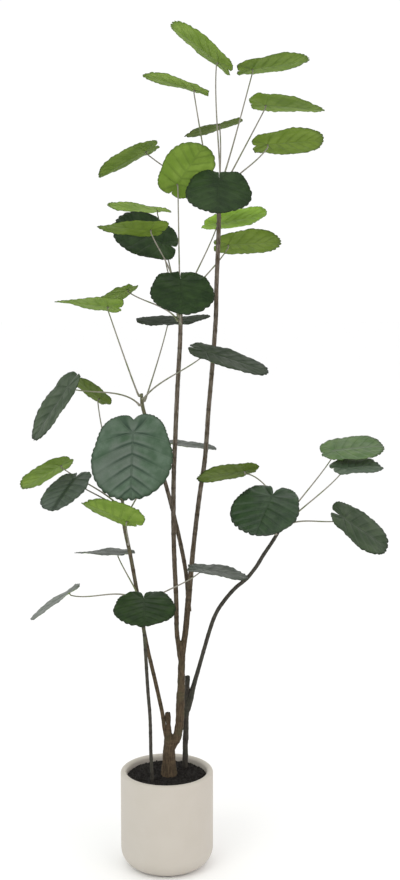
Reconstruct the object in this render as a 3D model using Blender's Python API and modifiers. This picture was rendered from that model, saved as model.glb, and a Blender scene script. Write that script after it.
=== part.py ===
"""Potted polyscias: round toothed leaves on thin stalks, bare woody stems, soil and a pale round pot."""
import math

import bmesh
import bpy
from mathutils import Vector

# Pot, in metres
POT_RADIUS = 0.085
POT_HEIGHT = 0.179
WALL = 0.0115
POT_FLOOR = 0.012
HEEL_RADIUS = 0.034
TURNED_STEPS = 48

# Soil, in metres
GAP = 0.0003
SOIL_TOP = 0.169
SOIL_EDGE_ROUNDING = 0.003
HOLE_STEPS = 24

# Woody stems: length of one straight piece along them, in metres
TRUNK_STEP = 0.022
STEM_STEP = 0.036
MERGE = 0.00001

# Leaves, in metres and shares of the blade
BLADE = 0.0009
EDGE_POINTS = 30
MIDDLE_POINTS = 15
MIDDLE_SHARE = 0.55
TOOTH = 0.022
REACH = 0.80
LOBE_FULLNESS = 0.27
LOBE_START = 1.22
TIP_FULLNESS = 0.08
FOLD_BEND = 0.0055
WAVE = 0.0011
WAVES = 3
FLUTTER = 0.0008
FLUTTERS = 7

# Notch beside the stalk: share of the blade left at its floor, on the middle ring and at the edge
SHALLOW_NOTCH = (0.34, 0.68)
DEEP_NOTCH = (0.16, 0.24)
DEEPLY_NOTCHED = ("leaf_left_4", "leaf_low_1", "leaf_right_2", "leaf_right_5")

# Stalks, in metres and shares of their span
STALK_RADIUS = 0.00125
STALK_GAP = 0.0004
STALK_STEP = 0.042
STALK_NECK = 0.0055
STALK_SHEATH = 0.003
STALK_RISE = 0.22
STALK_OUT = 0.04
STALK_ARRIVAL = 0.30
ARRIVAL_STRAIGHT = 0.85
ARRIVAL_SQUARE = 0.28
ARRIVAL_FORWARD = 0.10

# Woody pieces: rows of x, y, z and radius in millimetres, from the soil upwards
TRUNK = [(4, 0, 140, 15.5), (4, 0, 172, 15.5), (4, 0, 180, 13.8), (4, 0, 201, 11.8),
         (4, 0, 224, 10.2), (3, 0, 242, 6.8), (3, 0, 264, 5.0), (2, 0, 287, 4.8)]
THICK_LIMB = [(4, 0, 196, 7.0), (7, 0, 217, 7.8), (18, 0, 239, 8.3), (23, 0, 262, 7.8),
              (25, 0, 300, 7.9), (26, 0, 331, 6.9), (27, 1, 360, 6.9), (28, 2, 381, 6.5),
              (27, 4, 402, 8.2), (27, 5, 420, 5.4)]
CENTRE_STEM = [(26, 4, 392, 4.4), (19, 2, 436, 4.3), (18, -4, 499, 4.2), (14, -10, 607, 4.2),
               (14, -10, 717, 4.1), (17, -10, 791, 4.1), (21, -10, 880, 4.0), (26, -10, 966, 3.9),
               (27, -10, 1026, 3.6), (27, -10, 1046, 2.6)]
TALL_STEM = [(27, 5, 396, 5.2), (34, 9, 432, 5.4), (40, 10, 496, 5.4), (50, 10, 602, 4.2),
             (60, 10, 686, 4.1), (70, 10, 756, 4.1), (76, 10, 839, 4.0), (83, 10, 921, 4.0),
             (89, 10, 1006, 4.0), (90, 10, 1061, 3.9), (93, 10, 1136, 3.9), (94, 10, 1186, 3.8),
             (92, 10, 1228, 3.4), (91, 10, 1248, 2.5)]
CROSSING_STEM = [(40, 10, 474, 3.8), (38, 16, 516, 3.8), (34, 23, 552, 3.8), (20, 29, 621, 3.7),
                 (-1, 30, 704, 3.6), (-19, 22, 765, 3.5), (-33, 12, 815, 3.5), (-42, 10, 852, 3.2),
                 (-43, 10, 872, 2.4)]
LEFT_STEM = [(3, 0, 228, 3.9), (-4, 0, 256, 3.8), (-8, 0, 286, 3.7), (-20, 0, 343, 3.6),
             (-36, 0, 415, 3.5), (-49, 0, 489, 3.5), (-63, 0, 572, 3.5), (-75, 0, 632, 3.4),
             (-78, 0, 668, 3.0), (-78, 0, 686, 2.3)]
BACK_TRUNK = [(33, 33, 140, 5.6), (33, 33, 172, 5.6), (34, 33, 223, 5.2), (36, 33, 285, 5.2),
              (37, 33, 314, 5.0), (38, 33, 346, 4.7)]
RIGHT_BRANCH = [(36, 33, 280, 4.6), (43, 32, 304, 6.2), (50, 30, 331, 4.3), (61, 20, 373, 3.7),
                (80, 10, 443, 3.6), (92, 2, 476, 3.6), (107, 0, 499, 3.6), (125, 0, 520, 3.5),
                (145, 0, 537, 3.5), (161, 0, 557, 3.4), (175, 0, 580, 3.4), (188, 0, 600, 3.3),
                (199, 0, 618, 3.2), (208, 0, 638, 3.0), (213, 0, 656, 2.3)]
FRONT_STEM = [(-26, -33, 140, 3.2), (-26, -33, 172, 3.2), (-28, -33, 226, 3.1), (-29, -33, 285, 3.1),
              (-33, -33, 342, 3.1), (-37, -33, 414, 3.1), (-40, -31, 460, 3.0), (-43, -30, 496, 2.9),
              (-44, -30, 516, 2.2)]

# Leaves: name, stem that bears it, drop of its root below the stem tip, then the attachment point,
# all in millimetres, the heading, rise and roll of the midrib in degrees, length and width in
# millimetres, then fold along the midrib, droop of the tip and twist from hub to tip as fractions
LEAVES = [
    ("leaf_top_1", "tall", 16, (93, 30, 1449), (180, 38, 7), 130, 118, 0.11, 0.02, -0.06),
    ("leaf_top_2", "tall", 9, (153, 50, 1441), (0, 7, -9), 126, 102, 0.10, -0.04, 0.08),
    ("leaf_top_3", "tall", 22, (173, -30, 1369), (-8, -5, -9), 126, 112, 0.09, 0.04, 0.16),
    ("leaf_top_4", "tall", 28, (174, -80, 1298), (-4, 5, -15), 118, 112, 0.03, 0.03, 0),
    ("leaf_top_5", "tall", 34, (52, 20, 1401), (180, 16, 2), 118, 94, 0.07, 0.03, 0),
    ("leaf_top_6", "tall", 40, (95, 75, 1348), (105, -5, -14), 106, 104, 0.03, 0.02, 0),
    ("leaf_top_7", "tall", 46, (-34, 20, 1296), (180, -27, 8), 116, 114, 0.11, 0.02, -0.08),
    ("leaf_top_8", "tall", 50, (93, -75, 1240), (-93, -43, -3), 106, 104, 0.04, 0.02, 0),
    ("leaf_upper_1", "centre", 4, (22, -40, 1235), (-36, 49, -32), 107, 84, 0.04, 0.03, 0),
    ("leaf_upper_2", "centre", 10, (91, 75, 1175), (13, 9, -16), 118, 108, 0.06, 0.02, 0),
    ("leaf_upper_3", "centre", 17, (112, 80, 1136), (0, 4, -20), 120, 114, 0.03, 0.03, 0),
    ("leaf_upper_4", "centre", 24, (-17, 130, 1200), (180, 6, 3), 116, 104, 0.03, 0.02, 0.13),
    ("leaf_upper_5", "centre", 30, (-4, 25, 1137), (-175, 21, -42), 116, 110, 0.05, 0.03, 0),
    ("leaf_upper_6", "centre", 37, (-22, -80, 1157), (-155, 4, 16), 116, 98, 0.04, 0.04, -0.30),
    ("leaf_upper_7", "centre", 50, (28, -64, 1072), (-84, -35, 0), 114, 102, 0.05, 0.05, 0),
    ("leaf_upper_8", "centre", 44, (-70, 60, 1056), (155, -27, 4), 68, 76, 0.05, 0.03, 0),
    ("leaf_middle_1", "crossing", 14, (2, 50, 996), (75, 8, -1), 118, 130, 0.04, 0.04, 0),
    ("leaf_middle_2", "crossing", 4, (-99, -30, 1027), (-170, 6, 17), 116, 106, 0.08, 0.03, -0.40),
    ("leaf_middle_3", "crossing", 9, (71, -70, 951), (-4, -17, 12), 143, 106, 0.00, 0.02, 0),
    ("leaf_middle_4", "crossing", 20, (-167, -60, 889), (-165, -55, -10), 137, 104, 0.08, 0.03, 0.03),
    ("leaf_left_1", "left", 4, (-121, 45, 860), (200, 40, 9), 85, 93, 0.06, 0.03, 0),
    ("leaf_left_2", "left", 10, (-52, -120, 817), (-93, -62, 8), 148, 132, 0.04, 0.05, 0),
    ("leaf_left_3", "left", 17, (-188, 0, 744), (180, -31, 19), 101, 112, 0.07, 0.03, 0),
    ("leaf_left_4", "left", 24, (-161, -40, 724), (-114, -27, 7), 110, 79, 0.05, 0.05, 0),
    ("leaf_left_5", "left", 86, (-67, -55, 653), (-160, 27, 23), 110, 103, 0.18, 0.03, -0.10),
    ("leaf_left_6", "left", 38, (2, 82, 774), (2, -6, -1), 112, 94, 0.04, 0.02, 0),
    ("leaf_low_1", "front", 36, (-38, -64, 516), (-86, -18, 2), 104, 102, 0.05, 0.05, 0),
    ("leaf_low_2", "front", 10, (-88, 20, 579), (150, -2, 5), 104, 98, 0.05, 0.05, 0),
    ("leaf_low_3", "front", 16, (-176, 0, 511), (180, -33, 2), 106, 96, 0.05, 0.05, 0),
    ("leaf_low_4", "front", 22, (62, -72, 571), (0, -8, 0), 106, 86, 0.04, 0.05, 0),
    ("leaf_right_1", "right", 14, (139, -50, 741), (-170, -5, 23), 106, 104, 0.05, 0.05, 0.06),
    ("leaf_right_2", "right", 40, (187, -50, 696), (-114, -32, -7), 120, 113, 0.05, 0.06, 0),
    ("leaf_right_3", "right", 8, (304, 30, 766), (0, 8, 14), 112, 110, 0.05, 0.06, 0),
    ("leaf_right_4", "right", 20, (313, -30, 743), (11, 6, 8), 88, 96, 0.05, 0.06, 0),
    ("leaf_right_5", "right", 26, (319, 0, 648), (0, -34, 22), 121, 115, 0.05, 0.02, 0),
]

# Bends of stalks that pass round another leaf, in millimetres
STALK_BENDS = {
    "leaf_upper_6": ((22, -16, 1091), (-8, -70, 1116)),
    "leaf_right_1": ((200, -4, 701), (155, -18, 734)),
}

UP = Vector((0, 0, 1))


def material(name, colour, roughness):
    mat = bpy.data.materials.new(name)
    mat.use_nodes = True
    shader = mat.node_tree.nodes["Principled BSDF"]
    shader.inputs["Base Color"].default_value = (*colour, 1)
    shader.inputs["Roughness"].default_value = roughness
    shader.inputs["Metallic"].default_value = 0
    return mat


def collection(name):
    made = bpy.data.collections.new(name)
    bpy.context.scene.collection.children.link(made)
    return made


def helper(obj):
    """Keep a cutting or joining shape out of the finished object."""
    obj.hide_render = True
    obj.display_type = "WIRE"


def combine(obj, name, other, operation):
    step = obj.modifiers.new(name, "BOOLEAN")
    step.operation = operation
    step.solver = "EXACT"
    step.object = other


def turned(name, profile, steps, group):
    """Solid turned about Z from a profile that runs down its outer side from the axis to the axis."""
    mesh = bpy.data.meshes.new(name)
    verts = [(radius, 0, height) for radius, height in profile]
    mesh.from_pydata(verts, [(i, i + 1) for i in range(len(verts) - 1)], [])
    obj = bpy.data.objects.new(name, mesh)
    group.objects.link(obj)
    screw = obj.modifiers.new("turn", "SCREW")
    screw.axis = "Z"
    screw.angle = 2 * math.pi
    screw.steps = steps
    screw.render_steps = steps
    screw.use_merge_vertices = True
    screw.merge_threshold = MERGE
    screw.use_smooth_shade = True
    return obj


def arc(centre, radius, start, end, steps):
    """Points of radius and height along an arc in the profile plane, angles in degrees."""
    points = []
    for i in range(steps + 1):
        angle = math.radians(start + (end - start) * i / steps)
        points.append((centre[0] + radius * math.cos(angle), centre[1] + radius * math.sin(angle)))
    return points


def make_pot(group):
    """Round vessel with a wide rounded heel, straight wall and full round rim."""
    rim = WALL / 2
    inner = POT_RADIUS - WALL
    inner_heel = HEEL_RADIUS - WALL
    profile = [(0, POT_FLOOR)]
    profile += arc((inner - inner_heel, POT_FLOOR + inner_heel), inner_heel, -90, 0, 3)
    profile += arc((POT_RADIUS - rim, POT_HEIGHT - rim), rim, 180, 0, 6)
    profile += arc((POT_RADIUS - HEEL_RADIUS, HEEL_RADIUS), HEEL_RADIUS, 0, -90, 6)
    profile += [(0, 0)]
    return turned("pot", profile, TURNED_STEPS, group)


def make_soil(group, cutters):
    """Soil that fills the pot, with a plain hole for each woody piece that stands in it."""
    radius = POT_RADIUS - WALL - GAP
    heel = HEEL_RADIUS - WALL
    profile = [(0, SOIL_TOP), (radius - SOIL_EDGE_ROUNDING, SOIL_TOP)]
    profile += [(radius, SOIL_TOP - SOIL_EDGE_ROUNDING)]
    profile += arc((radius - heel, POT_FLOOR + GAP + heel), heel, 0, -90, 3)
    profile += [(0, POT_FLOOR + GAP)]
    soil = turned("soil", profile, TURNED_STEPS, group)
    for name, stem in (("trunk_hole", TRUNK), ("back_hole", BACK_TRUNK), ("front_hole", FRONT_STEM)):
        x, y, foot, width = (value / 1000 for value in stem[0])
        bore = (width + GAP) / math.cos(math.pi / HOLE_STEPS)
        depth = SOIL_TOP - foot + GAP
        bpy.ops.mesh.primitive_cylinder_add(vertices=HOLE_STEPS, radius=bore, depth=2 * depth,
                                            location=(x, y, SOIL_TOP))
        cutter = bpy.context.active_object
        cutter.name = name
        for owner in list(cutter.users_collection):
            owner.objects.unlink(cutter)
        cutters.objects.link(cutter)
        helper(cutter)
        combine(soil, name, cutter, "DIFFERENCE")
    return soil


def smooth_path(rows, step):
    """Points and radii in metres along a smooth curve through the rows, about a step apart."""
    rows = [(Vector(row[:3]) / 1000, row[3] / 1000) for row in rows]
    path = []
    for i in range(len(rows) - 1):
        p0 = rows[max(i - 1, 0)][0]
        p1, r1 = rows[i]
        p2, r2 = rows[i + 1]
        p3 = rows[min(i + 2, len(rows) - 1)][0]
        count = max(1, round((p2 - p1).length / step))
        for k in range(count):
            t = k / count
            point = 0.5 * (2 * p1 + (p2 - p0) * t + (2 * p0 - 5 * p1 + 4 * p2 - p3) * t * t
                           + (3 * p1 - p0 - 3 * p2 + p3) * t ** 3)
            path.append((point, r1 + (r2 - r1) * t))
    path.append(rows[-1])
    return path


def rod(name, path, resolution, group):
    """Closed round rod along points, each with its own radius."""
    curve = bpy.data.curves.new(name, "CURVE")
    curve.dimensions = "3D"
    curve.bevel_depth = 0.001
    curve.bevel_resolution = resolution
    curve.use_fill_caps = True
    spline = curve.splines.new("POLY")
    spline.points.add(len(path) - 1)
    for knot, (place, radius) in zip(spline.points, path):
        knot.co = (*place, 1)
        knot.radius = radius / curve.bevel_depth
    drawn = bpy.data.objects.new(name, curve)
    group.objects.link(drawn)
    graph = bpy.context.evaluated_depsgraph_get()
    mesh = bpy.data.meshes.new_from_object(drawn.evaluated_get(graph))
    bm = bmesh.new()
    bm.from_mesh(mesh)
    bmesh.ops.remove_doubles(bm, verts=bm.verts, dist=MERGE)
    bmesh.ops.recalc_face_normals(bm, faces=bm.faces)
    bm.to_mesh(mesh)
    bm.free()
    mesh.shade_smooth()
    matrix = drawn.matrix_world.copy()
    bpy.data.objects.remove(drawn, do_unlink=True)
    solid = bpy.data.objects.new(name, mesh)
    solid.matrix_world = matrix
    group.objects.link(solid)
    return solid


def grown_together(name, limbs, group, cutters):
    """One woody solid made of several limbs that overlap where they fork."""
    rows, step, resolution = limbs[0]
    first = rod(name, smooth_path(rows, step), resolution, group)
    for i, (rows, step, resolution) in enumerate(limbs[1:]):
        limb = rod(f"{name}_limb_{i + 1}", smooth_path(rows, step), resolution, cutters)
        helper(limb)
        combine(first, limb.name, limb, "UNION")
    return first


def stem_point(rows, drop):
    """Point, direction and radius of a stem at a distance below its tip."""
    path = smooth_path(rows, STEM_STEP)
    left = drop
    for i in range(len(path) - 1, 0, -1):
        upper, lower = path[i], path[i - 1]
        span = (upper[0] - lower[0]).length
        if left <= span:
            share = left / span
            along = (upper[0] - lower[0]).normalized()
            radius = upper[1] + (lower[1] - upper[1]) * share
            return upper[0].lerp(lower[0], share), along, radius
        left -= span
    return path[0][0], UP.copy(), path[0][1]


def leaf_axes(heading, rise, roll):
    """Midrib, left side and upper normal of a blade."""
    h, p, r = (math.radians(a) for a in (heading, rise, roll))
    midrib = Vector((math.cos(h) * math.cos(p), math.sin(h) * math.cos(p), math.sin(p)))
    level = Vector((-math.sin(h), math.cos(h), 0))
    side = level * math.cos(r) + midrib.cross(level) * math.sin(r)
    return midrib, side, midrib.cross(side)


def blade_radius(angle, length, width):
    """Distance from the stalk to the edge of an oval blade, fuller at the lobes and beside the tip."""
    centre = (REACH - 0.5) * length
    a, b = length / 2, width / 2
    c, s = math.cos(angle), math.sin(angle)
    qa = (c / a) ** 2 + (s / b) ** 2
    qb = -2 * c * centre / a ** 2
    qc = (centre / a) ** 2 - 1
    radius = (-qb + math.sqrt(qb * qb - 4 * qa * qc)) / (2 * qa)
    back = max(0, math.acos(c) - LOBE_START) / (math.pi - LOBE_START)
    lobes = LOBE_FULLNESS * max(0, math.sin(math.pi * back)) ** 1.5
    tip = TIP_FULLNESS * math.sin(2 * angle) ** 2 if c > 0 else 0
    return radius * (1 + lobes + tip)


def blade_point(angle, share, number, length, width, fold, droop, twist):
    """Point of the blade in its own axes: folded, twisted, drooping at the tip and waved at the edge."""
    radius = blade_radius(angle, length, width) * share
    x, y = radius * math.cos(angle), radius * math.sin(angle)
    lift = fold * (math.hypot(y, FOLD_BEND) - FOLD_BEND) + twist * x * y / length
    fall = droop * length * (x / length) ** 2
    wave = WAVE * share ** 2 * math.sin(WAVES * (angle + number))
    flutter = FLUTTER * share ** 3 * math.sin(FLUTTERS * (angle + number))
    return x, y, lift - fall + wave + flutter


def blade_surface(name, number, place, shape, group):
    """Open fan of triangles from the stalk to a toothed edge with a notch opposite the tip."""
    bm = bmesh.new()
    hub = bm.verts.new(place((0, 0, 0)))
    rings = []
    floors = DEEP_NOTCH if name in DEEPLY_NOTCHED else SHALLOW_NOTCH
    for count, share, notch in zip((MIDDLE_POINTS, EDGE_POINTS), (MIDDLE_SHARE, 1), floors):
        ring = []
        for i in range(count):
            reach = notch if i == 0 else share
            if i and share == 1:
                reach += TOOTH if i % 2 else -TOOTH
            angle = math.pi + 2 * math.pi * i / count
            ring.append(bm.verts.new(place(blade_point(angle, reach, number, *shape))))
        rings.append(ring)
    middle, edge = rings
    for i in range(MIDDLE_POINTS):
        near, far = middle[i], middle[(i + 1) % MIDDLE_POINTS]
        first, tooth, last = (edge[(2 * i + k) % EDGE_POINTS] for k in range(3))
        bm.faces.new((hub, near, far))
        bm.faces.new((near, first, tooth))
        bm.faces.new((near, tooth, far))
        bm.faces.new((far, tooth, last))
    mesh = bpy.data.meshes.new(name)
    bm.to_mesh(mesh)
    bm.free()
    mesh.shade_smooth()
    obj = bpy.data.objects.new(name, mesh)
    group.objects.link(obj)
    return obj


def stalk_path(root, out, base, midrib, normal, bends):
    """Smooth stalk that leaves the stem squarely and turns up into the underside of the blade."""
    span = (base - root).length
    straight = (base - root).normalized()
    neck = base - normal * STALK_NECK
    arrive = straight * ARRIVAL_STRAIGHT + normal * ARRIVAL_SQUARE + midrib * ARRIVAL_FORWARD
    arrive.normalize()
    elbow = root + out * STALK_NECK + UP * STALK_SHEATH
    p1 = root + (out * STALK_OUT + straight * STALK_RISE + UP * STALK_RISE * (1 - straight.z)) * span
    p2 = neck - arrive * span * STALK_ARRIVAL
    if bends:
        p1, p2 = (Vector(bend) / 1000 for bend in bends)
    count = max(3, round(span / STALK_STEP))
    points = [root, root + out * STALK_SHEATH]
    for i in range(count + 1):
        t = i / count
        points.append(elbow * (1 - t) ** 3 + p1 * 3 * t * (1 - t) ** 2 + p2 * 3 * t * t * (1 - t)
                      + neck * t ** 3)
    points += [base - normal * STALK_NECK / 2, base]
    return [(point, STALK_RADIUS) for point in points]


def make_leaf(number, row, stems, group, cutters):
    """Blade and stalk as one closed solid, split into triangles alike on both faces."""
    name, stem, drop, base, turn, *shape = row
    base = Vector(base) / 1000
    shape = (shape[0] / 1000, shape[1] / 1000, *shape[2:])
    midrib, side, normal = leaf_axes(*turn)

    def place(point):
        return base + midrib * point[0] + side * point[1] + normal * point[2]

    blade = blade_surface(name, number, place, shape, group)
    shell = blade.modifiers.new("thickness", "SOLIDIFY")
    shell.thickness = BLADE
    shell.offset = 0
    hub, along, radius = stem_point(stems[stem], drop / 1000)
    out = base - hub
    out = (out - along * out.dot(along)).normalized()
    root = hub + out * (radius + STALK_GAP)
    stalk = rod(name + "_stalk", stalk_path(root, out, base, midrib, normal, STALK_BENDS.get(name)),
                1, cutters)
    helper(stalk)
    combine(blade, "stalk", stalk, "UNION")
    return blade


def build():
    for obj in list(bpy.data.objects):
        bpy.data.objects.remove(obj, do_unlink=True)
    plant = collection("potted_polyscias")
    cutters = collection("cutters")
    ceramic = material("pot_ceramic", (0.62, 0.58, 0.53), 0.55)
    earth = material("soil_dark", (0.020, 0.018, 0.016), 0.95)
    bark = material("bark_brown", (0.085, 0.060, 0.038), 0.80)
    back_bark = material("bark_back", (0.075, 0.055, 0.036), 0.80)
    thin_bark = material("bark_thin", (0.070, 0.055, 0.032), 0.75)

    make_pot(plant).data.materials.append(ceramic)
    make_soil(plant, cutters).data.materials.append(earth)
    trunk = grown_together("trunk_main", [
        (TRUNK, TRUNK_STEP, 4), (THICK_LIMB, TRUNK_STEP, 3), (LEFT_STEM, STEM_STEP, 2),
        (CENTRE_STEM, STEM_STEP, 2), (TALL_STEM, STEM_STEP, 2),
        (CROSSING_STEM, STEM_STEP, 2)], plant, cutters)
    trunk.data.materials.append(bark)
    back = grown_together("trunk_back", [(BACK_TRUNK, STEM_STEP, 3), (RIGHT_BRANCH, STEM_STEP, 2)],
                          plant, cutters)
    back.data.materials.append(back_bark)
    front = rod("stem_front", smooth_path(FRONT_STEM, STEM_STEP), 2, plant)
    front.data.materials.append(thin_bark)

    stems = {"tall": TALL_STEM, "centre": CENTRE_STEM, "crossing": CROSSING_STEM,
             "left": LEFT_STEM, "front": FRONT_STEM, "right": RIGHT_BRANCH}
    for number, row in enumerate(LEAVES):
        leaf = make_leaf(number, row, stems, plant, cutters)
        leaf.data.materials.append(material("green_" + row[0], (0.060, 0.130, 0.050), 0.45))


build()
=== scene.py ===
"""Looks of the potted polyscias: toothed, veined leaves, thin stalks, woody stems, soil and matt pot."""

import math

import bmesh
import bpy
import numpy as np
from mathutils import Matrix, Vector, noise


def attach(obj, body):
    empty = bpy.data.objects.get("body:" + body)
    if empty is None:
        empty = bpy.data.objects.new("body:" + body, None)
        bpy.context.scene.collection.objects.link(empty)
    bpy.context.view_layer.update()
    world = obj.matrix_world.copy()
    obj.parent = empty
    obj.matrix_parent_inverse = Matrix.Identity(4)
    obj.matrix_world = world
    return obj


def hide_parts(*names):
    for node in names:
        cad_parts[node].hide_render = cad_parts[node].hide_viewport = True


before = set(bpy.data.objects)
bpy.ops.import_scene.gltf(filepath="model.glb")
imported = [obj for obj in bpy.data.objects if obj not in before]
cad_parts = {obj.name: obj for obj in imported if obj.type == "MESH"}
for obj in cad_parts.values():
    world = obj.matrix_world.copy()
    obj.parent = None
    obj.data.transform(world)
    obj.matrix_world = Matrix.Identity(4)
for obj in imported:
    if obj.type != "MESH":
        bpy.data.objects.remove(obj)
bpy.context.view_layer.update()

# Photograph's camera, in metres, degrees and pixels, with its sensor in millimetres
CAMERA_PLACE = (0.061, -2.30, 1.076)
CAMERA_TILT = 7.1
PICTURE_HEIGHT = 880
FOCAL_PIXELS = 1300
SENSOR = 36

# Studio: brightness of the white room, half the floor's width, the point that the lamps aim at, then
# each lamp's name, place and size in metres, power in watts and tint
ROOM_LIGHT = 1.03
FLOOR_REACH = 30
LAMP_AIM = (0.05, 0, 0.75)
LAMPS = [
    ("key_lamp", (-1.6, -2.4, 2.6), 1.8, 24, (0.96, 1.0, 0.95)),
    ("fill_lamp", (2.0, -1.6, 1.4), 1.6, 10, (1.0, 0.86, 0.80)),
]

# Pot and soil bed: sizes in metres and counts of mesh steps
POT_RADIUS = 0.085
POT_HEIGHT = 0.179
WALL = 0.0115
POT_FLOOR = 0.012
HEEL_RADIUS = 0.034
POT_STEPS = 160
POT_CURVE_STEPS = 20
POT_SIDE_STEPS = 14
POT_INSIDE_STEPS = 10
POT_MERGE = 0.00001
SOIL_TOP = 0.169
SOIL_GAP = 0.0004
SOIL_RINGS = 46
SOIL_COLUMNS = 150
SOIL_SHOULDER = 0.006
SOIL_HEEL_STEPS = 5
SOIL_EDGE = 0.93
SOIL_SINK = 0.0030

# Lumps of the soil's top: fineness per metre, seed and height in metres; crumbs ignore the last kind
SOIL_LUMPS = [(55, 1, 0.0014), (230, 5, 0.0011), (600, 9, 0.0005)]

# Crumbs on the soil: count, room to the wall and sizes in metres, then shares of their size
CRUMBS = 900
CRUMB_MARGIN = 0.004
CRUMB_SIZES = (0.0007, 0.0021)
CRUMB_STRETCH = (0.6, 1.3)
CRUMB_ROUGHNESS = 0.35
CRUMB_RISE = 0.25

# Woody stems: steps along them in metres, sides around them, and the grain of the merged trunks
WOOD_STEP = 0.0035
WOOD_SIDES = 20
LIMB_STEP = 0.004
LIMB_SIDES = 28
TRUNK_VOXEL = 0.0011
TRUNK_SOFTENING = 6

# Bark: reach of the swollen foot, of the dark cut stub and of a leaf scar, and the spacing of scars, in
# metres; then swellings as shares of the radius, and how dark a cut and how green a young tip shows
COLLAR = 0.014
STUB = 0.009
SCAR_REACH = 0.0016
SCAR_SPACING = (0.012, 0.034)
SCARS = 80
FOOT_SWELLING = 0.45
SCAR_SWELLING = 0.06
CUT_DARKNESS = 1.6
YOUNG = 0.75

# Uneven bark of the thin stems: share of the radius, fineness around, and fineness along per metre
ROUGHNESS = (0.07, 1.6, 150)
RIDGES = (0.05, 3.4, 45)

# Relief of the trunks: fineness across and along per metre, and height in metres
TRUNK_RELIEF = [(330, 60, 0.0007), (70, 70, 0.0011), (30, 260, 0.00035)]

# Blades: mesh counts and thickness in metres, then the outline: share of the length that lies ahead of
# the stalk, fuller lobes from an angle in radians on, and fuller shoulders beside the tip
COLUMNS = 236
RINGS = 18
BLADE = 0.0009
REACH = 0.80
LOBE_FULLNESS = 0.27
LOBE_START = 1.22
TIP_FULLNESS = 0.08

# Teeth: spacing in metres, depth and mean level as shares, how late they rise towards the edge and how
# far from the middle of the notch they start, as a share of its half angle
TOOTH_SPACING = 0.0082
TOOTH = 0.040
TOOTH_LEVEL = 0.6
TOOTH_POWER = 9
TOOTH_START = 0.5

# Uneven teeth: drifts along the edge (share of a tooth, waves around the blade, turn from leaf to leaf),
# then the mean depth with its swing, waves and turn, and the roundness of a tooth
TOOTH_DRIFTS = [(0.28, 3, 1), (0.16, 7, 2.1)]
TOOTH_DEPTH = (0.72, 0.28, 5, 1.3)
TOOTH_ROUNDNESS = 0.7

# Surface of a blade: round bend at the fold and heights of its unevenness in metres, with the counts
# of waves around it and the fineness of its noise per metre
FOLD_BEND = 0.0055
WAVE = 0.0011
WAVES = 3
FLUTTER = 0.0008
FLUTTERS = 7
CRUMPLE = 0.0008
CRUMPLE_FINENESS = 75
CRINKLE = 0.0016
CRINKLE_FINENESS = 150

# Course of the side veins: spacing as a share of the length, how they lean, close up and curve towards
# the edge, their spacing behind the stalk and the least distance from it in metres, and the way across
# from one to the next
VEIN_SPACING = 0.135
VEIN_SPREAD = 0.22
VEIN_CLOSING = 0.9
VEIN_CURVE = 1.6
VEIN_BACK = 0.78
VEIN_NEAREST = 0.001
VEIN_SLANT = 0.88

# Quilting between side veins: where it is highest on the way to the next vein, height in metres, fade
# beside the midrib and around the stalk in metres, and how much it flattens towards the edge
PLEAT = 0.78
QUILT = 0.0011
QUILT_MIDRIB = 0.008
QUILT_HUB = 0.020
QUILT_EDGE = 0.75

# Veins on the skins: near and far end of the fades beside a vein in metres, and heights in metres
VEIN_BAND = (0.0004, 0.0030)
VEIN_LINE = (0.00015, 0.0006)
MIDRIB_LIGHT_BAND = (0.0015, 0.0070)
PLEAT_BAND = (0.012, 0.046)
VEIN_HEIGHT = 0.0003
NET_HEIGHT = 0.00001
GRAIN_HEIGHT = 0.000008

# Stalks: mesh counts, radii in metres and how fast they taper, length of the straight neck, way out and
# up to the bend beside the stem, then thickening and reach of the sheath at the foot and the flare on top
STALK_SIDES = 8
STALK_POINTS = 22
STALK_TOP = 0.00108
STALK_FOOT = 0.00175
STALK_TAPER = 1.5
NECK = 0.0055
ELBOW = (0.0055, 0.0035)
SHEATH = (0.0011, 0.006)
FLARE = (0.0006, 0.003)

# Course of a stalk: how it starts (outwards, straight on, upwards), how it arrives (straight on, along
# the blade's normal, along its midrib), and how long it keeps that way, as shares of its span
STALK_START = (0.04, 0.22, 0.22)
STALK_ARRIVAL = (0.85, 0.28, 0.10)
STALK_PULL = 0.30

# Ends of a stalk in metres: points outwards from the bark, and points down from the blade
ROOT_STEPS = (-0.002, 0, 0.003)
BLADE_STEPS = (0.0028, 0.0004)

# Woody pieces: rows of x, y, z and radius in millimetres, from the soil upwards
TRUNK = [(4, 0, 140, 15.5), (4, 0, 172, 15.5), (4, 0, 180, 13.8), (4, 0, 201, 11.8),
         (4, 0, 224, 10.2), (3, 0, 242, 6.8), (3, 0, 264, 5.0), (2, 0, 287, 4.8)]
THICK_LIMB = [(4, 0, 196, 7.0), (7, 0, 217, 7.8), (18, 0, 239, 8.3), (23, 0, 262, 7.8),
              (25, 0, 300, 7.9), (26, 0, 331, 6.9), (27, 1, 360, 6.9), (28, 2, 381, 6.5),
              (27, 4, 402, 8.2), (27, 5, 420, 5.4)]
CENTRE_STEM = [(26, 4, 392, 4.4), (19, 2, 436, 4.3), (18, -4, 499, 4.2), (14, -10, 607, 4.2),
               (14, -10, 717, 4.1), (17, -10, 791, 4.1), (21, -10, 880, 4.0), (26, -10, 966, 3.9),
               (27, -10, 1026, 3.6), (27, -10, 1046, 2.6)]
TALL_STEM = [(27, 5, 396, 5.2), (34, 9, 432, 5.4), (40, 10, 496, 5.4), (50, 10, 602, 4.2),
             (60, 10, 686, 4.1), (70, 10, 756, 4.1), (76, 10, 839, 4.0), (83, 10, 921, 4.0),
             (89, 10, 1006, 4.0), (90, 10, 1061, 3.9), (93, 10, 1136, 3.9), (94, 10, 1186, 3.8),
             (92, 10, 1228, 3.4), (91, 10, 1248, 2.5)]
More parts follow.
